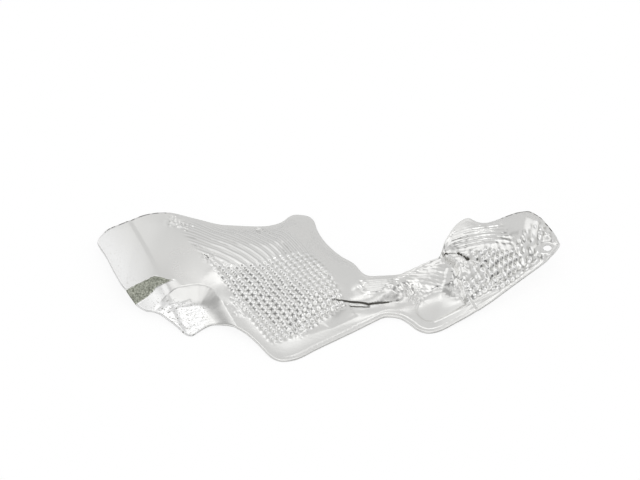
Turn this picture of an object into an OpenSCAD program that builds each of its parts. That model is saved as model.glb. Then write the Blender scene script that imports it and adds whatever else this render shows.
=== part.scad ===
// Heat shield of an exhaust, pressed from one embossed aluminium sheet with a folded hem.
// X runs along the length, Y runs from the front flange to the back edge, and Z is up.
// The origin is the middle of the footprint, on the surface that the shield lies on.

/* [Overall size] */
// Length of the shield along X
shield_l = 458; // [430:1:490]
// Depth of the shield along Y
shield_w = 214; // [200:1:230]

/* [Sheet] */
// Thickness of the aluminium sheet
sheet_t = 1; // [0.8:0.1:1.4]
// Width of the hem that is folded under along the edge
hem_w = 4.5; // [3.5:0.5:6]
// Thickness of the folded hem
hem_t = 2.4; // [2:0.1:3.2]

/* [Embossing] */
// Distance between neighbouring bumps of the embossing
pitch = 6.2; // [5.8:0.1:7.5]
// Height of a bump above the middle of the embossing
emboss_h = 0.9; // [0.5:0.1:1.2]
// Width over which the embossing fades out at its border
emboss_fade = 5; // [3:0.5:8]

/* [Pressed forms] */
// Height of the central dome
dome_h = 24; // [16:1:32]
// Height of the smooth paddle at the left end
paddle_h = 17; // [12:1:22]
// Height of the arm at its back edge
arm_h = 26; // [20:1:32]
// Height of the hood at the right end
hood_h = 44; // [38:1:50]
// Height of the crease, where the left side of the paddle stands above the right side
crease_d = 0.5; // [0.3:0.1:2]
// Height of the lip that overlaps the front flange at the neck
pleat_h = 5; // [3:0.5:6.5]
// Depth of the plain recessed panel on the arm
panel_d = 1.2; // [0.6:0.1:2]
// Height of the plain raised pad on the front flange
pad_h = 0.5; // [0.3:0.1:1.2]

/* [Bolt hole] */
// Diameter of the bolt hole
bolt_d = 9; // [6.5:0.5:11]
// Diameter of the flat seat round the bolt hole
seat_d = 14; // [13:0.5:17]
// Height of the flat seat above the ground
seat_z = 24; // [20:1:28]

/* [Hidden] */

// Front edge from the left end to the right end
front_edge = [
    [-229, 14], [-226, 9], [-217, -4], [-204, -27], [-189, -50], [-175, -59], [-166, -65],
    [-153, -66], [-144, -71], [-133, -78], [-122, -86], [-116, -88], [-109, -81], [-101, -73],
    [-94, -70], [-81, -72], [-65, -78], [-56, -84], [-42, -96], [-33, -104], [-23, -107],
    [-10, -103], [12, -83], [36, -61], [58, -41], [71, -31], [82, -30], [95, -36], [104, -43],
    [114, -45], [123, -42], [141, -27], [166, -4], [191, 24], [213, 48], [221, 58], [226, 66],
    [228.4, 72], [229, 76]
];

// Back edge from the left end to the right end
back_edge = [
    [-229, 22], [-227, 30], [-220, 38], [-209, 46], [-200, 53], [-187, 62], [-172, 67],
    [-162, 68], [-142, 67], [-118, 68], [-99, 71], [-70, 76], [-59, 81], [-53, 86], [-49, 93],
    [-41, 98], [-30, 98], [-22, 92], [-16, 78], [-4, 60], [13, 42], [29, 29], [40, 15], [46, 12],
    [61, 14], [76, 17], [90, 25], [102, 32], [112, 37], [117, 39], [119, 62], [125, 72],
    [130, 79], [137, 81], [142, 77], [149, 75], [155, 77], [167, 86], [181, 99], [188, 104],
    [195, 107], [204, 106], [213, 99], [220, 92], [225, 86], [228.2, 81], [229, 78]
];

// How far the length and the depth are stretched from those of the outline as drawn
drawn_l = front_edge[len(front_edge) - 1][0] - front_edge[0][0];
drawn_w = max([for (p = back_edge) p[1]]) - min([for (p = front_edge) p[1]]);
kx = shield_l / drawn_l;
ky = shield_w / drawn_w;

// Heights of the main pressing, in seven equal steps from the front edge to the back edge.
// Each section stands at one place along X, and its heights are shares of the height named.
main_sections = [
    [-229, paddle_h, [0.59, 0.59, 0.59, 0.59, 0.59, 0.59, 0.59]],
    [-205, paddle_h, [0.77, 0.78, 0.8, 0.8, 0.78, 0.75, 0.7]],
    [-189, paddle_h, [0.93, 0.93, 0.93, 0.92, 0.88, 0.82, 0.76]],
    [-166, paddle_h, [1, 1, 1, 0.98, 0.94, 0.88, 0.76]],
    [-140, paddle_h, [0.88, 0.9, 0.94, 0.98, 0.94, 0.82, 0.53]],
    [-110, dome_h, [0.54, 0.56, 0.66, 0.76, 0.7, 0.48, 0.1]],
    [-80, dome_h, [0.32, 0.36, 0.68, 0.88, 0.8, 0.48, 0.02]],
    [-50, dome_h, [0.15, 0.26, 0.68, 0.96, 0.9, 0.5, 0]],
    [-20, dome_h, [0, 0.1, 0.6, 0.9, 0.8, 0.38, 0]],
    [10, dome_h, [0, 0.05, 0.42, 0.8, 0.82, 0.6, 0.2]],
    [40, arm_h, [0.01, 0.03, 0.1, 0.3, 0.48, 0.52, 0.46]],
    [70, arm_h, [0.07, 0.08, 0.2, 0.5, 0.62, 0.62, 0.54]],
    [100, arm_h, [0, 0.01, 0.03, 0.08, 0.26, 0.6, 0.8]],
    [118, arm_h, [0, 0.01, 0.03, 0.06, 0.16, 0.58, 1]],
    [141, arm_h, [0.08, 0.09, 0.12, 0.3, 0.8, 1.08, 1.15]],
    [166, arm_h, [0.24, 0.5, 0.9, 1.15, 1.3, 1.35, 1.35]]
];

// Heights of the hood at the right end, given in the same way
hood_sections = [
    [100, hood_h, [0.05, 0.1, 0.2, 0.42, 0.62, 0.8, 0.84]],
    [118, hood_h, [0.05, 0.1, 0.2, 0.42, 0.66, 0.82, 0.86]],
    [141, hood_h, [0.05, 0.07, 0.22, 0.56, 0.85, 0.98, 0.93]],
    [166, hood_h, [0.14, 0.23, 0.46, 0.72, 0.92, 1, 0.93]],
    [190, hood_h, [0.27, 0.38, 0.58, 0.76, 0.88, 0.91, 0.82]],
    [205, hood_h, [0.37, 0.42, 0.5, 0.58, 0.65, 0.69, 0.66]],
    [220, hood_h, [0.44, 0.46, 0.49, 0.52, 0.55, 0.56, 0.54]],
    [229, hood_h, [0.48, 0.48, 0.48, 0.48, 0.48, 0.48, 0.48]]
];

// Where the arm's back edge would run on under the hood, and the hood's back over the arm
arm_back = [[112, 37], [166, 66]];
hood_back = [[100, 54], [118, 66], [137, 81], [155, 82], [167, 87], [188, 104], [204, 106], [229, 78]];
// Left border of the hood, as places along X at places along Y
hood_border = [[-30, 175], [-1, 151], [14, 138], [27, 133], [31, 128],
    [35, 118], [39, 115], [60, 112]];
hood_join = 3;

// Edge of the drop to the low tab at the front left, and how far the drop runs
tab_edge = [[-178, -80], [-168, -69], [-154, -54], [-142, -41], [-129, -34.5], [-117, -31.5],
    [-109, -32], [-101, -36], [-93, -44], [-84, -57], [-74, -71], [-66, -84]];
tab_step = 4;
tab_run = [[-150, 10], [-128, 20], [-110, 20], [-96, 16], [-80, 14]];
// Height of the tab at its tip, and its rise from there towards the paddle
tab_z = [[-167, 2], [-150, 1], [-116, 0], [-94, 0]];
tab_tip_y = -88;
tab_rise = 0.13;

// Step across the paddle, and the ramp below it as heights at places along its own length
step_line = [[-190, -53], [-163, -28], [-146, -29]];
ramp_from = [-177, -58];
ramp_turn = 42.5;
ramp_z = [[-5, 3.5], [10, 4.8], [20, 6.5], [33, 11.5], [43, 16.5], [54, 22.5]];
ramp_blend = 3;

// Crease across the paddle, as places along X at places along Y
crease_line = [[-20, -161], [12, -180], [50, -203]];
crease_w = 5;

// Corners of the embossed fields, anticlockwise
dome_field = [[-168, 59], [-118, 4], [-85, -33], [-44, -80], [-33, -86], [-3, -66], [30, -28],
    [31, -8], [-5, 23], [-32, 63], [-69, 69], [-117, 62]];
hood_field = [[151, 1], [186, 23], [208, 48], [222, 64], [222, 82], [207, 82], [140, 44], [133, 30],
    [139, 14]];
hood_top_field = [[134, 36], [184, 58], [172, 74], [150, 72], [123, 61], [121, 46]];

// Middle of the embossed band along the arm, and half its width
arm_band = [[50, -3], [70, 4], [90, 11], [106, 20], [118, 27], [132, 27]];
arm_band_w = 11.5;

// Lip at the neck, panel on the arm and pad on the front flange
pleat_line = [[12, -30], [20, -27.5], [30, -24.5], [40, -23], [52, -22.5], [64, -18], [86, -9.5]];
pleat_ends = [10, 88];
pleat_fades = [26, 36];
pleat_rise = 1.5;
pleat_run = 16;
panel_field = [[97, -14], [99, -21], [104, -27], [110, -30], [117, -29], [124, -24], [146, -4], [147, 1],
    [144, 6], [137, 11], [129, 13], [119, 13], [110, 9], [101, 0], [98, -6]];
pad_field = [[-3, -49], [18, -57], [43, -35], [33, -27]];
// Width of the sloping border of the panel and of the pad
field_border = 2;

// Middle of the bolt hole
bolt_xy = [217, 70];
// Width over which the flat seat runs out into the hood
seat_blend = 8;

// Spacing of the sheet's own grid, whose points are the tops and pits of the embossing
grid = pitch / sqrt(2);
// Width of the step from the hem to the single sheet, and how steep an edge it allows for
hem_step = 1.2;
slope_limit = 3;
// Most of the depth that the two hems may take together, half each
hem_share = 0.42;
// Least gap between the grid and the lines beside it, as a share of the grid
grid_gap = 0.35;
// Distance at which slopes are measured
probe = 0.5;

function clamp(t) = min(1, max(0, t));
function smooth(t) = let (u = clamp(t)) u * u * (3 - 2 * u);
function mix(a, b, t) = a + (b - a) * t;

// Index of the stretch of a list of points that holds the place x
function stretch(x, list, i = 0) =
    i >= len(list) - 2 || x < list[i + 1][0] ? i : stretch(x, list, i + 1);

// Slope that joins two stretches without overshoot
function joined(a, b) = a * b <= 0 ? 0 : 2 * a * b / (a + b);
function secant(list, i) = (list[i + 1][1] - list[i][1]) / (list[i + 1][0] - list[i][0]);
function slope_at(list, i) =
    i == 0 ? secant(list, 0) :
    i == len(list) - 1 ? secant(list, i - 1) :
    joined(secant(list, i - 1), secant(list, i));

// Cubic between two values with their slopes, over a stretch of length w
function cubic(a, b, ma, mb, w, t) =
    a * (2 * t * t * t - 3 * t * t + 1) + b * (3 * t * t - 2 * t * t * t)
    + ma * w * (t * t * t - 2 * t * t + t) + mb * w * (t * t * t - t * t);

// Smooth curve through a list of points
function curve(x, list) =
    let (i = stretch(x, list), w = list[i + 1][0] - list[i][0], t = clamp((x - list[i][0]) / w))
    cubic(list[i][1], list[i + 1][1], slope_at(list, i), slope_at(list, i + 1), w, t);

// Height of one section at v, from 0 at the front edge to 1 at the back edge
function section_z(section, v) =
    let (h = section[2], n = len(h) - 1, i = min(n - 1, floor(v * n)), t = v * n - i,
        s0 = h[i] - h[max(0, i - 1)], s1 = h[i + 1] - h[i], s2 = h[min(n, i + 2)] - h[i + 1])
    section[1] * cubic(h[i], h[i + 1], joined(s0, s1), joined(s1, s2), 1, t);

// Height of a loft through sections at x and v
function loft_z(sections, x, v) =
    let (i = stretch(x, sections), n = len(sections) - 1,
        near = [for (k = [max(0, i - 1):min(n, i + 2)]) [sections[k][0], section_z(sections[k], v)]])
    curve(x, near);

// Distance in front of a line that is given as places along Y at places along X
function in_front(x, y, list) =
    let (i = stretch(x, list), m = secant(list, i))
    (list[i][1] + m * (x - list[i][0]) - y) / sqrt(1 + m * m);

// Distance inside a convex field whose corners run anticlockwise
function inside(p, field) =
    min([for (i = [0:len(field) - 1])
        let (a = field[i], b = field[(i + 1) % len(field)], d = b - a)
        (d[0] * (p[1] - a[1]) - d[1] * (p[0] - a[0])) / norm(d)]);

// Distance from a point to a line of several stretches
function to_line(p, line) =
    min([for (i = [0:len(line) - 2])
        let (a = line[i], d = line[i + 1] - a, t = clamp((p - a) * d / (d * d)))
        norm(p - a - d * t)]);

function front_y(x) = curve(x, front_edge);
function back_y(x) = curve(x, back_edge);

function main_z(x, y) =
    let (f = front_y(x), b = x < arm_back[0][0] ? back_y(x) : lookup(x, arm_back))
    loft_z(main_sections, x, clamp((y - f) / (b - f)));

function hood_z(x, y) =
    let (f = front_y(x), b = lookup(x, hood_back))
    loft_z(hood_sections, x, clamp((y - f) / (b - f)));

function hood_mask(x, y) = smooth((x - lookup(y, hood_border)) / hood_join + 0.5);

// The lesser of two heights, with a rounded join
function soft_min(a, b, blend) =
    let (near = max(0, 1 - abs(a - b) / blend)) min(a, b) - near * near * blend / 4;

// Distance in front of the step, less than nothing behind it
function ahead_of_step(x, y) =
    min([for (i = [0:len(step_line) - 2]) in_front(x, y, [step_line[i], step_line[i + 1]])]);

// The step falls at 45 degrees until it meets the ramp
function stepped_z(x, y, z) =
    let (d = ahead_of_step(x, y),
        along = ([x, y] - ramp_from) * [cos(ramp_turn), sin(ramp_turn)],
        low = along < ramp_z[len(ramp_z) - 1][0] ? soft_min(z, curve(along, ramp_z), ramp_blend) : z)
    x > tab_edge[len(tab_edge) - 1][0] || d <= 0 ? z : max(z - d, low);

// The drop to the low tab falls fastest at its edge
tab_curve = [for (x = [tab_edge[0][0]:tab_step:tab_edge[len(tab_edge) - 1][0]]) [x, curve(x, tab_edge)]];
function tabbed_z(x, y, z) =
    x > tab_edge[len(tab_edge) - 1][0] || x < tab_edge[0][0] || y >= curve(x, tab_edge) ? z :
    let (low = curve(x, tab_z) + tab_rise * max(0, y - tab_tip_y),
        share = clamp(to_line([x, y], tab_curve) / lookup(x, tab_run)))
    mix(z, min(z, low), (smooth(share) + share * (2 - share)) / 2);

function crease_z(x, y) = crease_d * smooth(in_front(y, x, crease_line) / crease_w + 0.5);

function pleat_z(x, y) =
    let (d = -in_front(x, y, pleat_line),
        fade = smooth((x - pleat_ends[0]) / pleat_fades[0]) * smooth((pleat_ends[1] - x) / pleat_fades[1]))
    d < -pleat_rise ? 0 : pleat_h * fade * smooth(d / pleat_rise + 1) * (1 - smooth(d / pleat_run));

function panel_z(p) = -panel_d * smooth(inside(p, panel_field) / field_border);
function pad_z(p) = pad_h * smooth(inside(p, pad_field) / field_border);

// The sheet without its embossing, on the drawn length and depth
function form_z(x, y) =
    let (m = main_z(x, y), s = stepped_z(x, y, m), t = tabbed_z(x, y, s), hood = hood_mask(x, y),
        p = [x, y], low = t + crease_z(x, y) + pleat_z(x, y) + panel_z(p) + pad_z(p),
        z = hood <= 0 ? low : mix(low, hood_z(x, y), hood),
        r = norm(p - bolt_xy), seat = 1 - smooth((r - seat_d / 2) / seat_blend))
    mix(z + hem_t, seat_z, seat);

function emboss_mask(p) =
    smooth((norm(p - bolt_xy) - seat_d / 2) / emboss_fade)
    * max(smooth(inside(p, dome_field) / emboss_fade + 0.5),
        smooth(inside(p, hood_field) / emboss_fade + 0.5),
        smooth(inside(p, hood_top_field) / emboss_fade + 0.5),
        smooth((arm_band_w - to_line(p, arm_band)) / emboss_fade + 0.5));

function emboss_z(x, y) =
    emboss_h * emboss_mask([x / kx, y / ky]) * cos(180 * x / grid) * cos(180 * y / grid);

function plain_z(x, y) = form_z(x / kx, y / ky);

// Direction out of the top of the sheet, without its embossing
function out_of(x, y) =
    let (dx = (plain_z(x + probe, y) - plain_z(x - probe, y)) / (2 * probe),
        dy = (plain_z(x, y + probe) - plain_z(x, y - probe)) / (2 * probe), v = [-dx, -dy, 1])
    v / norm(v);

// One row across the sheet: its points from the front edge to the back edge,
// each with the sheet's thickness there and whether the grid has a pit there
function row(x, i) =
    let (f = ky * front_y(x / kx), b = ky * back_y(x / kx),
        mf = (front_y(x / kx + probe) - front_y(x / kx - probe)) / (2 * probe),
        mb = (back_y(x / kx + probe) - back_y(x / kx - probe)) / (2 * probe),
        room = hem_share * (b - f) / (hem_w + hem_step),
        sf = min(room, slope_limit, norm([1, mf])), sb = min(room, slope_limit, norm([1, mb])),
        inner = f + (hem_w + hem_step) * sf + grid_gap * grid,
        outer = b - (hem_w + hem_step) * sb - grid_gap * grid)
    [
        [f, hem_t, 0],
        [f + hem_w * sf, hem_t, 0],
        [f + (hem_w + hem_step) * sf, sheet_t, 0],
        for (j = [ceil(inner / grid):floor(outer / grid)]) [j * grid, sheet_t, (i + j) % 2],
        [b - (hem_w + hem_step) * sb, sheet_t, 0],
        [b - hem_w * sb, hem_t, 0],
        [b, hem_t, 0]
    ];

x_left = -shield_l / 2;
x_right = shield_l / 2;
i_left = ceil(x_left / grid + grid_gap);
i_right = floor(x_right / grid - grid_gap);
stations = [x_left, for (i = [i_left:i_right]) i * grid, x_right];
rows = [for (k = [0:len(stations) - 1]) row(stations[k], i_left - 1 + k)];
starts = [for (k = 0, n = 0; k <= len(rows); n = n + (k < len(rows) ? len(rows[k]) : 0), k = k + 1) n];
count = starts[len(rows)];

top_points = [for (k = [0:len(rows) - 1]) for (q = rows[k])
    [stations[k], q[0], plain_z(stations[k], q[0]) + emboss_z(stations[k], q[0])]];
under_points = [for (k = [0:len(rows) - 1]) for (n = [0:len(rows[k]) - 1])
    top_points[starts[k] + n] - rows[k][n][1] * out_of(stations[k], rows[k][n][0])];

// Triangles between two neighbouring rows, seen from above
function zip_rows(k) =
    let (a = rows[k], b = rows[k + 1], na = len(a) - 1, nb = len(b) - 1)
    [for (i = 0, j = 0, left = ahead(a, b, 0, 0); i < na || j < nb;
        i = i + (left ? 1 : 0), j = j + (left ? 0 : 1), left = ahead(a, b, i, j))
        left ? [starts[k] + i, starts[k + 1] + j, starts[k] + i + 1]
            : [starts[k] + i, starts[k + 1] + j, starts[k + 1] + j + 1]];

// Whether the next triangle takes its new corner from the first row
function ahead(a, b, i, j) =
    i >= len(a) - 1 ? false :
    j >= len(b) - 1 ? true :
    abs(a[i + 1][0] - b[j + 1][0]) < 0.01 && abs(a[i][0] - b[j][0]) < 0.01 ? abs(a[i][2]) < 0.5 :
    a[i + 1][0] < b[j + 1][0];

top_faces = [for (k = [0:len(rows) - 2]) each zip_rows(k)];

// The way round the edge of the sheet
edge_loop = [
    for (k = [0:len(rows) - 1]) starts[k],
    for (n = [1:len(rows[len(rows) - 1]) - 1]) starts[len(rows) - 1] + n,
    for (k = [len(rows) - 2:-1:0]) starts[k + 1] - 1,
    for (n = [len(rows[0]) - 2:-1:1]) n
];

module pressed_sheet() {
    n = len(edge_loop);
    polyhedron(
        points = concat(top_points, under_points),
        faces = concat(
            [for (f = top_faces) [f[0], f[2], f[1]]],
            [for (f = top_faces) [f[0] + count, f[1] + count, f[2] + count]],
            [for (e = [0:n - 1]) let (p = edge_loop[e], q = edge_loop[(e + 1) % n]) [p, q, q + count]],
            [for (e = [0:n - 1]) let (p = edge_loop[e], q = edge_loop[(e + 1) % n]) [p, q + count, p + count]]
        ),
        convexity = 10
    );
}

module bolt_hole() {
    translate([bolt_xy[0] * kx, bolt_xy[1] * ky, seat_z - 2 * hem_t])
        cylinder(h = 4 * hem_t, d = bolt_d, $fn = 64);
}

module heat_shield() {
    color("gainsboro") difference() {
        pressed_sheet();
        bolt_hole();
    }
}

heat_shield();
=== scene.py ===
import math

import bmesh
import bpy
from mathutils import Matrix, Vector, kdtree, noise


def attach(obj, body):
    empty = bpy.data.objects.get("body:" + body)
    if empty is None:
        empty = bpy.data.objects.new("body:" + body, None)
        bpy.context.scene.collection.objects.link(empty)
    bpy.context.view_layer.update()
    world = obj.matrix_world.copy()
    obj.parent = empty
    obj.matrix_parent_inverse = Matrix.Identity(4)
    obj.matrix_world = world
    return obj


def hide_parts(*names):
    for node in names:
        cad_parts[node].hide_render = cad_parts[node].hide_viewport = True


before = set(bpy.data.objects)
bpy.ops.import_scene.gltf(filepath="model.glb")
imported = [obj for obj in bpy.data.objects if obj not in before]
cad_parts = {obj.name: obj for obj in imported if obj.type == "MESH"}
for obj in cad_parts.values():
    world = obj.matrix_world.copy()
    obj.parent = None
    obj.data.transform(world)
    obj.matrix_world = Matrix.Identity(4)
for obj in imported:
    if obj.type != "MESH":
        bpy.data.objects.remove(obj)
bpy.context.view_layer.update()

MM = 0.001

# Pressed form. The real shield is one blank of thin aluminium, drawn between two dies into a
# paddle, a dome, a neck, an arm and a hood. Here the same outline and heights are written in
# millimetres, so that a fine mesh can take the place of the coarse one of the frame.
PADDLE_H = 17
DOME_H = 24
ARM_H = 26
HOOD_H = 44
HEM_T = 2.4

FRONT_EDGE = [
    (-229, 14), (-226, 9), (-217, -4), (-204, -27), (-189, -50), (-175, -59), (-166, -65),
    (-153, -66), (-144, -71), (-133, -78), (-122, -86), (-116, -88), (-109, -81), (-101, -73),
    (-94, -70), (-81, -72), (-65, -78), (-56, -84), (-42, -96), (-33, -104), (-23, -107),
    (-10, -103), (12, -83), (36, -61), (58, -41), (71, -31), (82, -30), (95, -36), (104, -43),
    (114, -45), (123, -42), (141, -27), (166, -4), (191, 24), (213, 48), (221, 58), (226, 66),
    (228.4, 72), (229, 76),
]
BACK_EDGE = [
    (-229, 22), (-227, 30), (-220, 38), (-209, 46), (-200, 53), (-187, 62), (-172, 67),
    (-162, 68), (-142, 67), (-118, 68), (-99, 71), (-70, 76), (-59, 81), (-53, 86), (-49, 93),
    (-41, 98), (-30, 98), (-22, 92), (-16, 78), (-4, 60), (13, 42), (29, 29), (40, 15), (46, 12),
    (61, 14), (76, 17), (90, 25), (102, 32), (112, 37), (117, 39), (119, 62), (125, 72),
    (130, 79), (137, 81), (142, 77), (149, 75), (155, 77), (167, 86), (181, 99), (188, 104),
    (195, 107), (204, 106), (213, 99), (220, 92), (225, 86), (228.2, 81), (229, 78),
]
# Each section has its place along X, its full height, and shares of it from front to back.
MAIN_SECTIONS = [
    (-229, PADDLE_H, (0.59, 0.59, 0.59, 0.59, 0.59, 0.59, 0.59)),
    (-205, PADDLE_H, (0.77, 0.78, 0.8, 0.8, 0.78, 0.75, 0.7)),
    (-189, PADDLE_H, (0.93, 0.93, 0.93, 0.92, 0.88, 0.82, 0.76)),
    (-166, PADDLE_H, (1, 1, 1, 0.98, 0.94, 0.88, 0.76)),
    (-140, PADDLE_H, (0.88, 0.9, 0.94, 0.98, 0.94, 0.82, 0.53)),
    (-110, DOME_H, (0.54, 0.56, 0.66, 0.76, 0.7, 0.48, 0.1)),
    (-80, DOME_H, (0.32, 0.36, 0.68, 0.88, 0.8, 0.48, 0.02)),
    (-50, DOME_H, (0.15, 0.26, 0.68, 0.96, 0.9, 0.5, 0)),
    (-20, DOME_H, (0, 0.1, 0.6, 0.9, 0.8, 0.38, 0)),
    (10, DOME_H, (0, 0.05, 0.42, 0.8, 0.82, 0.6, 0.2)),
    (40, ARM_H, (0.01, 0.03, 0.1, 0.3, 0.48, 0.52, 0.46)),
    (70, ARM_H, (0.07, 0.08, 0.2, 0.5, 0.62, 0.62, 0.54)),
    (100, ARM_H, (0, 0.01, 0.03, 0.08, 0.26, 0.6, 0.8)),
    (118, ARM_H, (0, 0.01, 0.03, 0.06, 0.16, 0.58, 1)),
    (141, ARM_H, (0.08, 0.09, 0.12, 0.3, 0.8, 1.08, 1.15)),
    (166, ARM_H, (0.24, 0.5, 0.9, 1.15, 1.3, 1.35, 1.35)),
]
HOOD_SECTIONS = [
    (100, HOOD_H, (0.05, 0.1, 0.2, 0.42, 0.62, 0.8, 0.84)),
    (118, HOOD_H, (0.05, 0.1, 0.2, 0.42, 0.66, 0.82, 0.86)),
    (141, HOOD_H, (0.05, 0.07, 0.22, 0.56, 0.85, 0.98, 0.93)),
    (166, HOOD_H, (0.14, 0.23, 0.46, 0.72, 0.92, 1, 0.93)),
    (190, HOOD_H, (0.27, 0.38, 0.58, 0.76, 0.88, 0.91, 0.82)),
    (205, HOOD_H, (0.37, 0.42, 0.5, 0.58, 0.65, 0.69, 0.66)),
    (220, HOOD_H, (0.44, 0.46, 0.49, 0.52, 0.55, 0.56, 0.54)),
    (229, HOOD_H, (0.48, 0.48, 0.48, 0.48, 0.48, 0.48, 0.48)),
]
ARM_BACK = [(112, 37), (166, 66)]
HOOD_BACK = [
    (100, 54), (118, 66), (137, 81), (155, 82), (167, 87), (188, 104), (204, 106), (229, 78),
]
HOOD_BORDER = [
    (-30, 175), (-1, 151), (14, 138), (27, 133), (31, 128), (35, 118), (39, 115), (60, 112),
]
HOOD_JOIN = 6


def clamp(t):
    return min(1.0, max(0.0, t))


def smooth(t):
    u = clamp(t)
    return u * u * (3 - 2 * u)


def mix(a, b, t):
    return a + (b - a) * t


def stretch(x, points):
    i = 0
    while i < len(points) - 2 and x >= points[i + 1][0]:
        i += 1
    return i


def lookup(x, points):
    i = stretch(x, points)
    (x0, y0), (x1, y1) = points[i], points[i + 1]
    return mix(y0, y1, clamp((x - x0) / (x1 - x0)))


def joined(a, b):
    return 0.0 if a * b <= 0 else 2 * a * b / (a + b)


def secant(points, i):
    return (points[i + 1][1] - points[i][1]) / (points[i + 1][0] - points[i][0])


def slope_at(points, i):
    if i == 0:
        return secant(points, 0)
    if i == len(points) - 1:
        return secant(points, i - 1)
    return joined(secant(points, i - 1), secant(points, i))


def cubic(a, b, slope_a, slope_b, width, t):
    rise = 3 * t * t - 2 * t * t * t
    leave = slope_a * width * (t * t * t - 2 * t * t + t)
    arrive = slope_b * width * (t * t * t - t * t)
    return mix(a, b, rise) + leave + arrive


def curve(x, points):
    i = stretch(x, points)
    (x0, y0), (x1, y1) = points[i], points[i + 1]
    t = clamp((x - x0) / (x1 - x0))
    return cubic(y0, y1, slope_at(points, i), slope_at(points, i + 1), x1 - x0, t)


def section_z(section, v):
    heights = section[2]
    last = len(heights) - 1
    i = min(last - 1, int(v * last))
    before = heights[i] - heights[max(0, i - 1)]
    here = heights[i + 1] - heights[i]
    after = heights[min(last, i + 2)] - heights[i + 1]
    leave = joined(before, here)
    arrive = joined(here, after)
    return section[1] * cubic(heights[i], heights[i + 1], leave, arrive, 1, v * last - i)


def loft_z(sections, x, v):
    i = stretch(x, sections)
    near = range(max(0, i - 1), min(len(sections) - 1, i + 2) + 1)
    return curve(x, [(sections[k][0], section_z(sections[k], v)) for k in near])


def front_y(x):
    return curve(x, FRONT_EDGE)


def back_y(x):
    return curve(x, BACK_EDGE)


def main_z(x, y):
    front = front_y(x)
    back = back_y(x) if x < ARM_BACK[0][0] else lookup(x, ARM_BACK)
    return loft_z(MAIN_SECTIONS, x, clamp((y - front) / (back - front)))


def hood_z(x, y):
    front = front_y(x)
    return loft_z(HOOD_SECTIONS, x, clamp((y - front) / (lookup(x, HOOD_BACK) - front)))


def hood_mask(x, y):
    return smooth((x - lookup(y, HOOD_BORDER)) / HOOD_JOIN + 0.5)


# Low tab, step, crease, lip, panel and pad. On the real sheet these are struck by the same
# die: a drop to the tab, a step with a corner and a ramp below it, a small ledge across the
# paddle, a lip that overlaps the front flange, a plain recess on the arm and a plain pad.
TAB_EDGE = [
    (-178, -80), (-168, -69), (-154, -54), (-142, -41), (-129, -34.5), (-117, -31.5),
    (-109, -32), (-101, -36), (-93, -44), (-84, -57), (-74, -71), (-66, -84),
]
TAB_STEP = 4
TAB_RUN = [(-150, 10), (-128, 20), (-110, 20), (-96, 16), (-80, 14)]
TAB_Z = [(-167, 2), (-150, 1), (-116, 0), (-94, 0)]
TAB_TIP_Y = -88
TAB_RISE = 0.13
STEP_LINE = [(-190, -53), (-163, -28), (-146, -29)]
RAMP_FROM = (-177, -58)
RAMP_TURN = math.radians(42.5)
RAMP_Z = [(-5, 3.5), (10, 4.8), (20, 6.5), (33, 11.5), (43, 16.5), (54, 22.5)]
RAMP_BLEND = 3
CREASE_LINE = [(-20, -161), (12, -180), (50, -203)]
CREASE_W = 5
CREASE_D = 0.8
PLEAT_LINE = [(12, -30), (20, -27.5), (30, -24.5), (40, -23), (52, -22.5), (64, -18), (86, -9.5)]
PLEAT_H = 3.8
PLEAT_ENDS = (12, 84)
PLEAT_FADES = (26, 44)
PLEAT_RISE = 0.7
PLEAT_RUN = 16
PANEL_FIELD = [
    (97, -14), (99, -21), (104, -27), (110, -30), (117, -29), (124, -24), (146, -4), (147, 1),
    (144, 6), (137, 11), (129, 13), (119, 13), (110, 9), (101, 0), (98, -6),
]
PANEL_D = 1.2
PAD_FIELD = [(-3, -49), (18, -57), (43, -35), (33, -27)]
PAD_H = 0.5
STRUCK_EDGE_W = 2
BOLT_XY = (217, 70)
BOLT_D = 9
SEAT_D = 14
SEAT_Z = 24
SEAT_RUN = 8


def in_front(x, y, line):
    i = stretch(x, line)
    slope = secant(line, i)
    return (line[i][1] + slope * (x - line[i][0]) - y) / math.hypot(1, slope)


def inside(x, y, field):
    """Distance inside the border of a field, less than nothing outside it."""
    nearest = math.inf
    for (ax, ay), (bx, by) in zip(field, field[1:] + field[:1]):
        dx, dy = bx - ax, by - ay
        nearest = min(nearest, (dx * (y - ay) - dy * (x - ax)) / math.hypot(dx, dy))
    return nearest


def to_line(x, y, line):
    nearest = math.inf
    for (ax, ay), (bx, by) in zip(line, line[1:]):
        dx, dy = bx - ax, by - ay
        t = clamp(((x - ax) * dx + (y - ay) * dy) / (dx * dx + dy * dy))
        nearest = min(nearest, math.hypot(x - ax - dx * t, y - ay - dy * t))
    return nearest


def soft_min(a, b, blend):
    near = max(0.0, 1 - abs(a - b) / blend)
    return min(a, b) - near * near * blend / 4


def ahead_of_step(x, y):
    """Distance in front of the step, less than nothing behind it."""
    return min(in_front(x, y, STEP_LINE[:2]), in_front(x, y, STEP_LINE[1:]))


def ramp_z(x, y, z):
    along = (x - RAMP_FROM[0]) * math.cos(RAMP_TURN) + (y - RAMP_FROM[1]) * math.sin(RAMP_TURN)
    return soft_min(z, curve(along, RAMP_Z), RAMP_BLEND) if along < RAMP_Z[-1][0] else z


def stepped_z(x, y, z):
    d = ahead_of_step(x, y)
    return z if d <= 0 or x > TAB_EDGE[-1][0] else max(z - d, ramp_z(x, y, z))


TAB_CURVE = [(x, curve(x, TAB_EDGE)) for x in range(TAB_EDGE[0][0], TAB_EDGE[-1][0] + 1, TAB_STEP)]


def tabbed_z(x, y, z):
    if x > TAB_EDGE[-1][0] or x < TAB_EDGE[0][0] or y >= curve(x, TAB_EDGE):
        return z
    low = curve(x, TAB_Z) + TAB_RISE * max(0, y - TAB_TIP_Y)
    share = clamp(to_line(x, y, TAB_CURVE) / lookup(x, TAB_RUN))
    return mix(z, min(z, low), (smooth(share) + share * (2 - share)) / 2)


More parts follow.
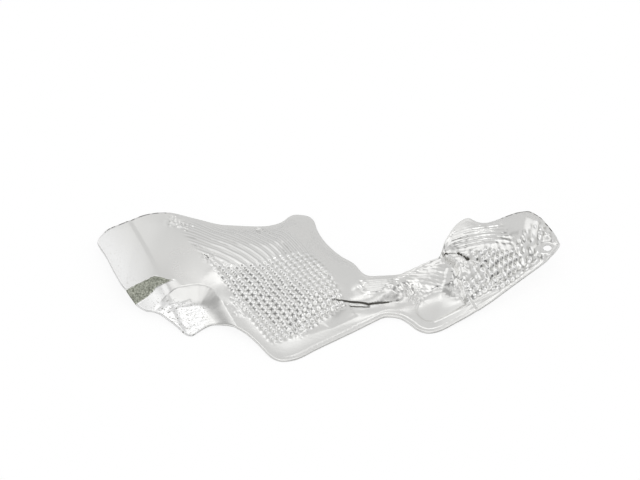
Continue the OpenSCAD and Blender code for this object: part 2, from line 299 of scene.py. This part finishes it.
def crease_z(x, y):
    return CREASE_D * smooth(in_front(y, x, CREASE_LINE) / CREASE_W + 0.5)


def pleat_fade(x):
    return smooth((x - PLEAT_ENDS[0]) / PLEAT_FADES[0]) * smooth((PLEAT_ENDS[1] - x) / PLEAT_FADES[1])


def pleat_z(x, y):
    d = -in_front(x, y, PLEAT_LINE)
    if d <= 0:
        return 0.0
    return PLEAT_H * pleat_fade(x) * clamp(d / PLEAT_RISE) * (1 - smooth(d / PLEAT_RUN))


def panel_z(x, y):
    return -PANEL_D * smooth(inside(x, y, PANEL_FIELD) / STRUCK_EDGE_W)


def pad_z(x, y):
    return PAD_H * smooth(inside(x, y, PAD_FIELD) / STRUCK_EDGE_W)


def from_bolt(x, y):
    return math.hypot(x - BOLT_XY[0], y - BOLT_XY[1])


def form_z(x, y):
    z = tabbed_z(x, y, stepped_z(x, y, main_z(x, y)))
    z += crease_z(x, y) + pleat_z(x, y) + panel_z(x, y) + pad_z(x, y)
    hood = hood_mask(x, y)
    if hood > 0:
        z = mix(z, hood_z(x, y), hood)
    seat = 1 - smooth((from_bolt(x, y) - SEAT_D / 2) / SEAT_RUN)
    return mix(z + HEM_T, SEAT_Z, seat)


# Embossing. The stock is rolled between studded rollers before it is pressed, so bumps and
# pits alternate on a square lattice. Drawing closes the lattice up into ribs on the arm and
# the hood, and into curved lines behind the dome. At its borders it fades into plain sheet.
PITCH = 6.2
GRID = PITCH / math.sqrt(2)
EMBOSS_H = 0.9
EMBOSS_FADE = 5
WAFFLE_H = 0.95
WARP = 1.2
WARP_SCALE = 17
UNEVEN = 0.5
UNEVEN_SCALE = 6
DOME_FIELD = [
    (-168, 59), (-118, 4), (-85, -33), (-44, -80), (-33, -86), (-3, -66), (30, -28),
    (31, -8), (-5, 23), (-32, 63), (-69, 69), (-117, 62),
]
HOOD_FIELD = [
    (151, 1), (186, 23), (208, 48), (216, 58), (196, 56), (140, 40), (133, 30), (139, 14),
]
HOOD_END_FIELD = [(176, 30), (208, 48), (222, 64), (222, 84), (211, 99), (203, 100)]
HOOD_TOP_FIELD = [(134, 36), (184, 58), (172, 74), (150, 72), (123, 61), (121, 46)]
EMBOSS_FIELDS = [DOME_FIELD, HOOD_FIELD, HOOD_END_FIELD, HOOD_TOP_FIELD]
ARM_BAND = [(50, -3), (70, 4), (90, 11), (106, 20), (118, 27), (132, 27)]
ARM_BAND_W = 11.5
RIB_SHARE = 0.95
RIB_FROM = 30
RIB_RUN = 20
RIB_FADE = 4
RIB_BESIDE_BAND = 3
HOOD_RIB_FADE = 6
ARM_RIB_H = 0.2
ARM_RIB_PITCH = 3.1
ARM_RIB_SLOPE = 0.16
HOOD_RIB_H = 0.27
HOOD_RIB_PITCH = 4.05
HOOD_RIB_SLOPE = 0.31
RIB_DRIFT = 0.6
RIB_DRIFT_SCALE = 30
STEEP_RIB_H = 0.65
STEEP_RIB_PITCH = 6.3
STEEP_RIB_SHARE = 0.6
STEEP_RIB_FROM = 184
STEEP_RIB_RUN = 14
ARC_BORDER = [(-120, 3), (-88, -5), (-68, -1), (-33, 22), (-14, 33), (30, 40)]
ARC_FADE = 12
ARC_FROM = -158
ARC_RUN = 25
ARC_TO = 60
ARC_TO_RUN = 20
ARC_H = 0.26
ARC_SLOPE = 1.44
ARC_BEND = 0.0044
CROSS_H = 0.16
CROSS_FROM = (-60, 25)
CROSS_RUNS = (20, 15)


def field_mask(distance):
    return smooth(distance / EMBOSS_FADE + 0.5)


def emboss_mask(x, y):
    fields = max(field_mask(inside(x, y, field)) for field in EMBOSS_FIELDS)
    arm = field_mask(ARM_BAND_W - to_line(x, y, ARM_BAND))
    return max(fields, arm) * smooth((from_bolt(x, y) - SEAT_D / 2) / EMBOSS_FADE)


def rib_share(x, y):
    arm = smooth((ARM_BAND_W + RIB_BESIDE_BAND - to_line(x, y, ARM_BAND)) / RIB_FADE)
    hood = smooth(inside(x, y, HOOD_TOP_FIELD) / HOOD_RIB_FADE + 0.5)
    return max(arm, hood) * smooth((x - RIB_FROM) / RIB_RUN)


def arc_share(x, y):
    return smooth((y - lookup(x, ARC_BORDER)) / ARC_FADE + 0.5) * smooth((ARC_TO - x) / ARC_TO_RUN)


def arc_start(x):
    return smooth((x - ARC_FROM) / ARC_RUN)


def cross_start(x, y):
    along = smooth((x - CROSS_FROM[0]) / CROSS_RUNS[0])
    return smooth((y - CROSS_FROM[1]) / CROSS_RUNS[1]) * along


def wavering(x, y, scale, seed):
    return noise.noise(Vector((x / scale, y / scale, seed)))


def ripple(height, along, pitch):
    return height * math.cos(2 * math.pi * along / pitch)


def emboss_z(x, y):
    mask = emboss_mask(x, y)
    if mask <= 0:
        return 0.0
    u = x + WARP * wavering(x, y, WARP_SCALE, 1)
    v = y + WARP * wavering(x, y, WARP_SCALE, 5)
    waffle = ripple(WAFFLE_H, u, 2 * GRID) * ripple(1, v, 2 * GRID)
    drift = RIB_DRIFT * wavering(x, y, RIB_DRIFT_SCALE, 11)
    arm_rib = ripple(ARM_RIB_H, y - ARM_RIB_SLOPE * x + drift, ARM_RIB_PITCH)
    hood_rib = ripple(HOOD_RIB_H, y - HOOD_RIB_SLOPE * x + drift, HOOD_RIB_PITCH)
    rib = mix(arm_rib, hood_rib, hood_mask(x, y))
    steep_rib = ripple(STEEP_RIB_H, u, STEEP_RIB_PITCH)
    arcs = ripple(ARC_H, v + ARC_SLOPE * u + ARC_BEND * u * u, 2 * GRID) * arc_start(x)
    arcs += ripple(CROSS_H, u, GRID) * cross_start(x, y)
    ribbed = RIB_SHARE * rib_share(x, y)
    height = mix(waffle, rib, ribbed)
    height = mix(height, steep_rib, STEEP_RIB_SHARE * smooth((x - STEEP_RIB_FROM) / STEEP_RIB_RUN))
    gain = 1 + UNEVEN * (1 - ribbed) * wavering(x, y, UNEVEN_SCALE, 9)
    return EMBOSS_H * mask * gain * mix(height, arcs, arc_share(x, y))


# Wrinkles and crumples. Where the blank had too much metal, the dies folded it into short
# ridges and grooves, and crushed patches of the lattice between them. Each wrinkle has its
# height, half width and path, and each patch its centre, radius, height and grain.
WRINKLE_REACH = 4
WRINKLE_FADE = 6
WRINKLES = [
    (-1.3, 0.8, [(118, 34), (124, 38), (130, 38), (141, 34), (148, 33), (161, 34)]),
    (1.6, 1.7, [(133, 20), (142, 12), (147, 2)]),
    (-1.0, 1.0, [(129, 21), (135, 10), (144, 1)]),
    (0.9, 1.2, [(148, 32), (151, 26), (150, 20)]),
    (0.5, 1.3, [(58, -10), (66, -6), (76, -7)]),
    (0.5, 1.2, [(62, -5), (72, -5), (78, 4)]),
    (0.6, 1.3, [(78, 4), (83, -1), (82, -8)]),
    (-0.9, 0.9, [(106, 6), (116, 14), (129, 13)]),
    (0.5, 0.9, [(119, -28), (147, -6), (176, 15)]),
    (-0.8, 0.9, [(-119, 7), (-112, 3), (-108, 7)]),
    (0.6, 1.1, [(1, -54), (11, -44), (19, -33)]),
    (-0.6, 0.8, [(-154, -64), (-146, -57), (-137, -50)]),
    (0.6, 1.0, [(-143, -63), (-135, -54), (-124, -47)]),
    (0.6, 1.0, [(-80, -44), (-73, -49), (-67, -58)]),
    (0.5, 0.9, [(-84, -40), (-76, -42), (-70, -48)]),
    (-1.0, 0.8, [(-87.4, -48), (-87, -48.5)]),
    (-1.3, 0.8, [(34, -26), (40, -25), (46, -24.2), (52, -22.8)]),
    (-1.4, 0.9, [(130, 37), (131, 37.5)]),
    (-1.4, 0.9, [(141, 34), (142, 34)]),
]
CRUMPLES = [
    (94, 0, 14, 1.1, 3.2), (158, 27, 15, 1.0, 3.6), (175, 27, 10, 0.9, 3.2),
    (-12, -63, 15, 0.9, 3.6), (5, -3, 13, 0.7, 3.4), (-88, -16, 12, 0.9, 3.4),
    (-73, -52, 10, 0.5, 4.0), (-156, 54, 13, 1.6, 4.2), (-145, 50, 10, 1.4, 3.6),
    (-122, -66, 22, 0.25, 2.6), (136, 24, 13, 1.0, 3.4), (132, 13, 11, 0.8, 3.2),
    (-73, 66, 9, 1.3, 3.6), (-66, 60, 10, 0.8, 4.0), (-115, 6, 9, 1.5, 3.6),
    (140, 12, 12, 0.8, 4.0), (72, -6, 16, 0.35, 5.0),
]


def wrinkles_z(x, y):
    z = 0.0
    for height, width, path in WRINKLES:
        first = min(place[0] for place in path)
        last = max(place[0] for place in path)
        if first - WRINKLE_REACH < x < last + WRINKLE_REACH:
            z += height * math.exp(-((to_line(x, y, path) / width) ** 2))
    for cx, cy, radius, height, grain in CRUMPLES:
        d = math.hypot(x - cx, y - cy)
        if d < radius:
            crush = 0.5 - 2 * abs(wavering(x, y, grain, 3)) + 0.5 * wavering(x, y, grain / 2, 7)
            z += height * crush * smooth((1 - d / radius) * 2)
    return z


# The sheet itself: the top face of the frame's own shield, cut finer and laid on the form,
# then given its thickness. The rim is rolled under and back on itself, as the real hem is.
SHEET_T = 0.9
WELD = 0.01
CUTS = 3
CUT_PAST_END = 1
CUT_REACH = 3
CUT_SNAP = 0.05
CLOSEST = 0.5
HEM_R = 1.2
HEM_W = 4.5
HEM_TURNS = 5
RIM_EASINGS = 3
MARGIN_W = 12
LIP_REACH = 1.8
LIP_RUN = 9
BEAD_D = 0.35
BEAD_W = 0.8
BEAD_FROM = -25
BEAD_RUN = 20
SEAM_D = 0.8
SEAM_AT = 1.6
SEAM_W = 0.5
SEAM_FROM = 168
SEAM_TO = 224
SEAM_FADE_FROM = 140
SEAM_FADE_RUN = 20
SEAM_BACK_RUN = 10
SEAM_BREAK_SCALE = 4
SEAM_BREAKS_BELOW = -0.1
SLIT_FADE = 0.2
SLIT_SLACK = 0.1
STEP_FACE_FROM = 0.3
STEP_FACE_PAST_END = 2
ARC_RELIEF = 0.7

cad_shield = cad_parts["heat_shield"]
sheet = bmesh.new()
sheet.from_mesh(cad_shield.data)
embossed = sheet.verts.layers.float.new("embossed")
relief = sheet.verts.layers.float.new("relief")
arced = sheet.verts.layers.float.new("arced")
bmesh.ops.scale(sheet, vec=(1 / MM,) * 3, verts=sheet.verts)
bmesh.ops.remove_doubles(sheet, verts=sheet.verts, dist=WELD)

sheet.normal_update()
top = {v for v in sheet.verts if v.normal.z > 0}
under = [f for f in sheet.faces if f.normal.z <= 0 or not all(v in top for v in f.verts)]
bmesh.ops.delete(sheet, geom=under, context="FACES")
bmesh.ops.subdivide_edges(sheet, edges=sheet.edges, cuts=CUTS, use_grid_fill=True)
bmesh.ops.triangulate(sheet, faces=[f for f in sheet.faces if len(f.verts) > 4])


def cut_along(line, offset):
    """Cut the sheet along a line, moved back by an offset, so that edges run along it."""
    for (ax, ay), (bx, by) in zip(line, line[1:]):
        side = Vector((ay - by, bx - ax, 0)).normalized()
        place = Vector((ax, ay, 0)) + side * offset
        beside_line = {
            v for v in sheet.verts
            if ax - CUT_PAST_END < v.co.x < bx + CUT_PAST_END
            and abs((v.co - place).dot(side)) < CUT_REACH
        }
        near = [f for f in sheet.faces if any(v in beside_line for v in f.verts)]
        parts = set(near) | {e for f in near for e in f.edges} | {v for f in near for v in f.verts}
        bmesh.ops.bisect_plane(
            sheet, geom=list(parts), dist=CUT_SNAP, plane_co=place, plane_no=side,
        )


cut_along(PLEAT_LINE, 0)
cut_along(PLEAT_LINE, PLEAT_RISE)
cut_along(STEP_LINE, 0)
bmesh.ops.triangulate(sheet, faces=[f for f in sheet.faces if len(f.verts) > 4])

bmesh.ops.remove_doubles(sheet, verts=[v for v in sheet.verts if v.is_boundary], dist=CLOSEST)
rim = {v for v in sheet.verts if v.is_boundary}
bore = {v for v in rim if from_bolt(v.co.x, v.co.y) < 0.6 * BOLT_D}
rim -= bore
for v in bore:
    reach = BOLT_D / 2 / from_bolt(v.co.x, v.co.y)
    v.co.x = mix(BOLT_XY[0], v.co.x, reach)
    v.co.y = mix(BOLT_XY[1], v.co.y, reach)


def along_rim(v):
    return [e.other_vert(v) for e in v.link_edges if e.is_boundary]


for turn in range(RIM_EASINGS):
    eased = {v: (v.co * 2 + along_rim(v)[0].co + along_rim(v)[1].co) / 4 for v in rim}
    for v, co in eased.items():
        v.co = co

rim_list = list(rim)
edge_tree = kdtree.KDTree(len(rim_list))
for n, v in enumerate(rim_list):
    edge_tree.insert((v.co.x, v.co.y, 0), n)
edge_tree.balance()


def from_edge(x, y):
    return edge_tree.find((x, y, 0))[2]


def beside(v):
    return sum((f.calc_center_median() for f in v.link_faces), Vector()) / len(v.link_faces)


def inward_at(v):
    a, b = along_rim(v)
    side = (b.co - a.co).cross(Vector((0, 0, 1))).normalized()
    return side if side.dot(beside(v) - v.co) > 0 else -side


# The whole margin moves in by the radius of the fold, so that the fold ends at the outline.
inward = [inward_at(v) for v in rim_list]
shifts = {}
for v in sheet.verts:
    place, n, d = edge_tree.find((v.co.x, v.co.y, 0))
    if d < MARGIN_W:
        shifts[v] = inward[n] * HEM_R * (1 - d / MARGIN_W)
for v, shift in shifts.items():
    v.co += shift


def behind_middle(x, y):
    return y - (front_y(x) + back_y(x)) / 2


def groove(d, place):
    return math.exp(-(((d - place) / BEAD_W) ** 2))


def bead_z(x, y):
    d = from_edge(x, y)
    bead = BEAD_D * groove(d, HEM_W) * smooth((x - BEAD_FROM) / BEAD_RUN)
    back = smooth(behind_middle(x, y) / SEAM_BACK_RUN)
    back *= smooth((abs(x) - SEAM_FADE_FROM) / SEAM_FADE_RUN)
    return -bead - back * SEAM_D * groove(d, SEAM_AT)


def lip_reach(x, y):
    d = -in_front(x, y, PLEAT_LINE)
    if d < 0 or d > LIP_RUN:
        return 0.0
    return LIP_REACH * pleat_fade(x) * clamp(d / PLEAT_RISE) * (1 - smooth(d / LIP_RUN))


beside_lip = {
    v: -in_front(v.co.x, v.co.y, PLEAT_LINE)
    for v in sheet.verts if pleat_fade(v.co.x) > SLIT_FADE
}
for v in sheet.verts:
    x, y = v.co.x, v.co.y
    bump_z = emboss_z(x, y)
    crush_z = wrinkles_z(x, y) * smooth(from_edge(x, y) / WRINKLE_FADE)
    v[embossed] = emboss_mask(x, y)
    v[relief] = bump_z / EMBOSS_H * (1 - ARC_RELIEF * arc_share(x, y))
    v[arced] = v[embossed] * arc_share(x, y) * arc_start(x)
    v.co.z = form_z(x, y) + bump_z + crush_z + bead_z(x, y)
    v.co.y -= lip_reach(x, y)
sheet.normal_update()

rim_now = {}
for v in rim:
    a, b = along_rim(v)
    along = (b.co - a.co).normalized()
    out = along.cross(v.normal).normalized()
    if out.dot(v.co - beside(v)) < 0:
        out = -out
    rim_now[v] = (v.co.copy(), out, v.normal.copy())

hem_edges = [e for e in sheet.edges if e.is_boundary and e.verts[0] in rim]
place = rim_now
for turn in range(1, HEM_TURNS + 2):
    made = bmesh.ops.extrude_edge_only(sheet, edges=hem_edges)["geom"]
    new_verts = [g for g in made if isinstance(g, bmesh.types.BMVert)]
    angle = math.pi * min(turn, HEM_TURNS) / HEM_TURNS
    reach = HEM_R * math.sin(angle) if turn <= HEM_TURNS else -HEM_W
    drop = HEM_R * (1 - math.cos(angle))
    moved = {}
    for v in new_verts:
        old = next(e.other_vert(v) for e in v.link_edges if e.other_vert(v) in place)
        co, out, up = place[old]
        v.co = co + out * reach - up * drop
        moved[v] = (co, out, up)
    place = moved
    new_edges = [g for g in made if isinstance(g, bmesh.types.BMEdge)]
    hem_edges = [e for e in new_edges if all(v in moved for v in e.verts)]


def on_step(f):
    x, y, _ = f.calc_center_median()
    z = main_z(x, y)
    face_d = z - ramp_z(x, y, z)
    in_face = STEP_FACE_FROM < ahead_of_step(x, y) < face_d
    return in_face and x < STEP_LINE[-1][0] + STEP_FACE_PAST_END


def in_seam_shade(f):
    """Whether a face lies on the broken line of painted shade along the back edge."""
    x, y, _ = f.calc_center_median()
    in_line = abs(from_edge(x, y) - SEAM_AT) < SEAM_W
    unbroken = wavering(x, y, SEAM_BREAK_SCALE, 2) > SEAM_BREAKS_BELOW
    return in_line and unbroken and behind_middle(x, y) > 0 and SEAM_FROM < abs(x) < SEAM_TO


# Each mark of painted shade has its reach and its path.
FOLD_SHADE_MARKS = [
    (0.6, [(118, 36), (125, 37), (132, 37), (137, 36), (142, 34)]),
    (1.3, [(131.5, 37), (132.5, 37)]),
    (1.3, [(141.5, 34.4), (142.5, 34)]),
]


def in_fold_shade(f):
    x, y, _ = f.calc_center_median()
    return any(to_line(x, y, path) < reach for reach, path in FOLD_SHADE_MARKS)


for f in sheet.faces:
    # The face of the step takes the painted step shade.
    if on_step(f):
        f.material_index = 2
    # The seam, the fold marks and the slit under the lip take the painted fold shade.
    if in_seam_shade(f) or in_fold_shade(f):
        f.material_index = 1
    sides = [beside_lip.get(v, -1) for v in f.verts]
    if min(sides) > -SLIT_SLACK and max(sides) < PLEAT_RISE + SLIT_SLACK:
        f.material_index = 1

bmesh.ops.recalc_face_normals(sheet, faces=sheet.faces)
if sum(f.normal.z for f in sheet.faces) < 0:
    bmesh.ops.reverse_faces(sheet, faces=sheet.faces)
bmesh.ops.scale(sheet, vec=(MM,) * 3, verts=sheet.verts)
for f in sheet.faces:
    f.smooth = True

mesh = bpy.data.meshes.new("pressed_sheet")
sheet.to_mesh(mesh)
sheet.free()
shield = bpy.data.objects.new("pressed_sheet", mesh)
bpy.context.collection.objects.link(shield)
solid = shield.modifiers.new("thickness", "SOLIDIFY")
solid.thickness = SHEET_T * MM
solid.offset = -1
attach(shield, "root")
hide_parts("heat_shield")


# Bright rolled aluminium. The bare metal has a soft gloss, faint rolling lines, a fine grain
# and dull patches. The lattice is glossier, with painted highlight on its bumps and painted shade
# in its pits and arc lines; painted highlight lightens the left plane, low tab and ramp, and the tab
# has dark specks.
class Socket:
    """A shader value that Python's operators turn into Math nodes."""

    def __init__(self, tree, link):
        self.tree = tree
        self.link = link

    def node(self, kind, settings, inputs):
        made = self.tree.nodes.new(kind)
        for key, value in settings.items():
            setattr(made, key, value)
        for key, value in inputs.items():
            if isinstance(value, Socket):
                self.tree.links.new(value.link, made.inputs[key])
            elif value is not None:
                made.inputs[key].default_value = value
        return made

    def math(self, operation, a, b):
        made = self.node("ShaderNodeMath", {"operation": operation}, {0: a, 1: b})
        return Socket(self.tree, made.outputs[0])

    def __add__(self, other):
        return self.math("ADD", self, other)

    def __sub__(self, other):
        return self.math("SUBTRACT", self, other)

    def __rsub__(self, other):
        return self.math("SUBTRACT", other, self)

    def __mul__(self, other):
        return self.math("MULTIPLY", self, other)

    __radd__ = __add__
    __rmul__ = __mul__


def begin(material_name):
    """A new material with an empty tree, and a socket that makes its nodes."""
    material = bpy.data.materials.new(material_name)
    material.use_nodes = True
    material.node_tree.nodes.clear()
    return material, Socket(material.node_tree, None)


def place_on(start):
    return Socket(start.tree, start.node("ShaderNodeTexCoord", {}, {}).outputs["Object"])


def clouds(start, place, scale, detail):
    made = start.node(
        "ShaderNodeTexNoise", {}, {"Vector": place, "Scale": scale, "Detail": detail},
    )
    return Socket(start.tree, made.outputs[0])


def clamped(value):
    return Socket(value.tree, value.node("ShaderNodeClamp", {}, {"Value": value}).outputs[0])


def larger(a, b):
    return a.math("MAXIMUM", a, b)


def attribute(start, name):
    made = start.node("ShaderNodeAttribute", {"attribute_name": name}, {})
    return Socket(start.tree, made.outputs["Fac"])


def tinted(share, a, b):
    made = share.node("ShaderNodeMix", {"data_type": "RGBA"}, {"Factor": share, "A": a, "B": b})
    return Socket(share.tree, made.outputs["Result"])


def finish(start, settings):
    shader = start.node("ShaderNodeBsdfPrincipled", {}, settings)
    surface = Socket(start.tree, shader.outputs[0])
    start.node("ShaderNodeOutputMaterial", {}, {"Surface": surface})


COOL_METAL = (0.86, 0.862, 0.85, 1)
WARM_METAL = (0.9, 0.892, 0.87, 1)
# Painted shade for the pits and the arc lines, and the tone of the tab's dark specks.
SPECK_AND_SHADE_METAL = (0.3, 0.3, 0.27, 1)
# Painted highlight for the bumps, the left plane, the low tab and the ramp.
PAINTED_HIGHLIGHT_METAL = (0.97, 0.97, 0.965, 1)
# Strength of the painted shade in the pits, with more on the hood.
PIT_SHADE = 0.36
HOOD_PIT_SHADE = 0.3
# Strength of the painted shade and painted highlight along the arc lines.
ARC_SHADE = 0.2
ARC_HIGHLIGHT = 0.6
SPECK_SCALE = 600
SPECK_ABOVE = 0.62
SPECK_EDGE = 14
PLAIN_ROUGHNESS = 0.22
LATTICE_GLOSS = 0.14
PATCH_SCALE = 18
PATCH_ROUGHNESS = 0.08
GRAIN_D = 0.0002
GRAIN_STRENGTH = 0.35


def bright_aluminium():
    material, start = begin("bright_aluminium")
    place = place_on(start)
    spot = start.node("ShaderNodeSeparateXYZ", {}, {"Vector": place})
    x = Socket(start.tree, spot.outputs["X"])
    y = Socket(start.tree, spot.outputs["Y"])

    def beyond(a, b, c, soft):
        """How far a place lies beyond the line a x + b y = c, as a share of a soft border."""
        return clamped((x * a + y * b - c) * (1 / soft))

    # Painted highlight: the left plane of the paddle, the low tab and the ramp are made lighter.
    left_plane_highlight = beyond(-0.86, -0.51, 0.149, 0.03)
    tab_front = beyond(0.0, -1.0, 0.046, 0.008)
    tab_sides = beyond(-1.0, 0.0, 0.1, 0.01) * beyond(1.0, 0.0, -0.168, 0.02)
    tab = tab_front * tab_sides
    ramp_highlight = beyond(-1.0, 0.0, 0.142, 0.01) * beyond(0.0, -1.0, 0.03, 0.01)
    hood = beyond(1.0, 0.0, 0.15, 0.03)
    specks = clamped((clouds(start, place, SPECK_SCALE, 1) - SPECK_ABOVE) * SPECK_EDGE)
    relief_here = attribute(start, "relief")
    # Painted shade in the pits and painted highlight on the bumps, from the relief of the lattice.
    pit_shade = clamped(relief_here * -1)
    bump_highlight = clamped(relief_here)
    # Painted shade and painted highlight in lines along the arcs behind the dome.
    phase = (y + x * ARC_SLOPE + x * x * (ARC_BEND / MM)) * (2 * math.pi / (GRID * MM))
    arcs = attribute(start, "arced") * phase.math("SINE", phase, None)

    # Painted highlight, broken by the tab's specks; then painted shade, with the specks.
    painted_highlight = larger(larger(left_plane_highlight, tab), ramp_highlight) * (1 - specks)
    painted_highlight = larger(larger(painted_highlight, bump_highlight), arcs * -ARC_HIGHLIGHT)
    specks_and_shade = larger(tab * specks, pit_shade * (hood * HOOD_PIT_SHADE + PIT_SHADE))
    specks_and_shade = larger(specks_and_shade, arcs * ARC_SHADE)
    patches = clouds(start, place, PATCH_SCALE, 3)
    metal = tinted(patches, COOL_METAL, WARM_METAL)
    metal = tinted(specks_and_shade, metal, SPECK_AND_SHADE_METAL)
    metal = tinted(painted_highlight, metal, PAINTED_HIGHLIGHT_METAL)

    rolled = start.node("ShaderNodeMapping", {}, {"Vector": place, "Scale": (0.08, 1, 1)})
    rolling = clouds(start, Socket(start.tree, rolled.outputs[0]), 260, 2)
    height = clouds(start, place, 900, 2) * 0.3 + rolling * 0.5 + clouds(start, place, 120, 2) * 0.6
    grain = start.node(
        "ShaderNodeBump", {},
        {"Height": height, "Distance": GRAIN_D, "Strength": GRAIN_STRENGTH},
    )
    gloss = attribute(start, "embossed") * -LATTICE_GLOSS
    finish(start, {
        "Base Color": metal,
        "Metallic": 1.0,
        "Roughness": gloss + patches * PATCH_ROUGHNESS + PLAIN_ROUGHNESS,
        "Normal": Socket(start.tree, grain.outputs[0]),
    })
    return material


shield.data.materials.append(bright_aluminium())


# Painted shade in the folds. Black to dark grey tones stand in for the shade in the gap under the
# lip, along the seam of the hem behind the paddle and the hood, and in the fold where the arm meets
# the hood.
# Tones of the painted shade in the folds.
FOLD_SHADE_BLACK = (0.03, 0.03, 0.025, 1)
FOLD_SHADE_GREY = (0.16, 0.15, 0.13, 1)


def painted_fold_shade():
    material, start = begin("painted_fold_shade")
    cloud = clouds(start, place_on(start), 400, 3)
    finish(start, {
        "Base Color": tinted(cloud, FOLD_SHADE_BLACK, FOLD_SHADE_GREY),
        "Roughness": cloud * 0.3 + 0.6,
    })
    return material


shield.data.materials.append(painted_fold_shade())


# Painted shade on the face of the step. A fine speckle of deeper painted shade runs through it,
# so this face is darker than the bright sheet behind it and the ramp below it.
# Tones of the painted shade on the step face.
STEP_SHADE_METAL = (0.62, 0.64, 0.55, 1)
STEP_DEEP_SHADE_METAL = (0.2, 0.21, 0.17, 1)
STEP_FACE_ROUGHNESS = 0.35


def shaded_step_aluminium():
    material, start = begin("shaded_step_aluminium")
    speckle = clouds(start, place_on(start), 700, 2)
    finish(start, {
        "Base Color": tinted(speckle * -3 + 2, STEP_SHADE_METAL, STEP_DEEP_SHADE_METAL),
        "Metallic": 1.0,
        "Roughness": STEP_FACE_ROUGHNESS,
    })
    return material


shield.data.materials.append(shaded_step_aluminium())

# Studio. A pale floor and a white backdrop, one large soft box overhead and behind, and a
# grey room whose brighter and darker parts show in the metal, as around a product table.
TURN = math.radians(9.4)
RISE = math.radians(45)
LOOK_AT = Vector((-0.0119, 0.0654, HEM_T * MM))
DISTANCE = 8
VIEW_END = 40
FRAME_WIDTH = 0.64
SENSOR = 36

toward_camera = Vector((
    math.sin(TURN) * math.cos(RISE), -math.cos(TURN) * math.cos(RISE), math.sin(RISE),
))
camera_data = bpy.data.cameras.new("camera")
camera_data.sensor_width = SENSOR
camera_data.lens = SENSOR * DISTANCE / FRAME_WIDTH
camera_data.clip_end = VIEW_END
camera = bpy.data.objects.new("camera", camera_data)
bpy.context.collection.objects.link(camera)
camera.location = LOOK_AT + toward_camera * DISTANCE
camera.rotation_euler = (-toward_camera).to_track_quat("-Z", "Y").to_euler()
bpy.context.scene.camera = camera

FLOOR_SIZE = 20
FLOOR_GLOW = 1.06
FLOOR_GLOW_SHARE = 0.85


def seen_by_camera(start):
    rays = start.node("ShaderNodeLightPath", {}, {})
    return Socket(start.tree, rays.outputs["Is Camera Ray"])


def pale_floor():
    material, start = begin("pale_floor")
    matt = start.node("ShaderNodeBsdfDiffuse", {}, {"Color": (0.9, 0.9, 0.9, 1)})
    white = start.node("ShaderNodeEmission", {}, {"Color": (1, 1, 1, 1), "Strength": FLOOR_GLOW})
    both = start.node(
        "ShaderNodeMixShader", {},
        {
            0: seen_by_camera(start) * FLOOR_GLOW_SHARE,
            1: Socket(start.tree, matt.outputs[0]),
            2: Socket(start.tree, white.outputs[0]),
        },
    )
    surface = Socket(start.tree, both.outputs[0])
    start.node("ShaderNodeOutputMaterial", {}, {"Surface": surface})
    return material


floor_shape = bmesh.new()
bmesh.ops.create_grid(floor_shape, x_segments=1, y_segments=1, size=FLOOR_SIZE)
floor_mesh = bpy.data.meshes.new("floor")
floor_shape.to_mesh(floor_mesh)
floor_shape.free()
floor = bpy.data.objects.new("floor", floor_mesh)
bpy.context.collection.objects.link(floor)
floor.data.materials.append(pale_floor())


def soft_box(name, place, size, power):
    light = bpy.data.lights.new(name, "AREA")
    light.shape = "ELLIPSE"
    light.size = size[0]
    light.size_y = size[1]
    light.energy = power
    box = bpy.data.objects.new(name, light)
    bpy.context.collection.objects.link(box)
    box.location = place
    box.rotation_euler = (-Vector(place)).to_track_quat("-Z", "Y").to_euler()


soft_box("box_over", (-0.3, 0.9, 2.2), (1.7, 0.9), 0.58)

ROOM_LEVEL = 0.69
# Each patch has its direction, the cosines at its edge and its full middle, and its light.
PATCHES = [
    ((-0.37, 0.70, 0.616), 0.955, 0.998, 0.18),
    ((-0.08, 0.58, 0.81), 0.985, 0.999, -0.18),
    ((-0.08, 0.43, 0.90), 0.985, 0.999, 0.75),
    ((-0.53, 0.33, 0.78), 0.965, 0.99, 0.35),
    ((-0.32, 0.51, 0.80), 0.985, 0.999, 0.18),
    ((-0.48, -0.04, 0.87), 0.95, 0.985, -0.33),
    ((-0.80, 0.16, 0.58), 0.95, 0.99, -0.45),
    ((-0.69, 0.62, 0.31), 0.93, 0.995, 0.3),
    ((-0.90, -0.40, 0.19), 0.9, 0.98, 0.35),
    ((0.00, 0.30, 0.95), 0.93, 0.99, -0.02),
    ((0.07, -0.42, 0.906), 0.93, 0.985, 0.4),
    ((0.60, -0.25, 0.76), 0.965, 0.99, 0.5),
    ((0.64, 0.09, 0.77), 0.975, 0.998, -0.35),
    ((0.73, 0.53, 0.42), 0.93, 0.99, 0.35),
    ((0.75, -0.60, 0.20), 0.88, 0.97, -0.55),
    (toward_camera, 0.9, 0.99, -0.06),
]
world = bpy.data.worlds.new("room")
bpy.context.scene.world = world
world.use_nodes = True
room = world.node_tree
room.nodes.clear()
start = Socket(room, None)
way = Socket(room, start.node("ShaderNodeTexCoord", {}, {}).outputs["Generated"])
level = ROOM_LEVEL
for centre, edge, middle, light in PATCHES:
    centre = Vector(centre).normalized()
    facing = start.node("ShaderNodeVectorMath", {"operation": "DOT_PRODUCT"}, {0: way, 1: centre})
    patch = start.node(
        "ShaderNodeMapRange", {"interpolation_type": "SMOOTHSTEP"},
        {
            "Value": Socket(room, facing.outputs["Value"]), "From Min": edge, "From Max": middle,
            "To Min": 0.0, "To Max": light,
        },
    )
    level = Socket(room, patch.outputs[0]) + level
seen = seen_by_camera(start)
strength = seen + (1 - seen) * level
background = start.node("ShaderNodeBackground", {}, {"Color": (1, 1, 1, 1), "Strength": strength})
start.node("ShaderNodeOutputWorld", {}, {"Surface": Socket(room, background.outputs[0])})

bpy.context.scene.view_settings.view_transform = "Standard"
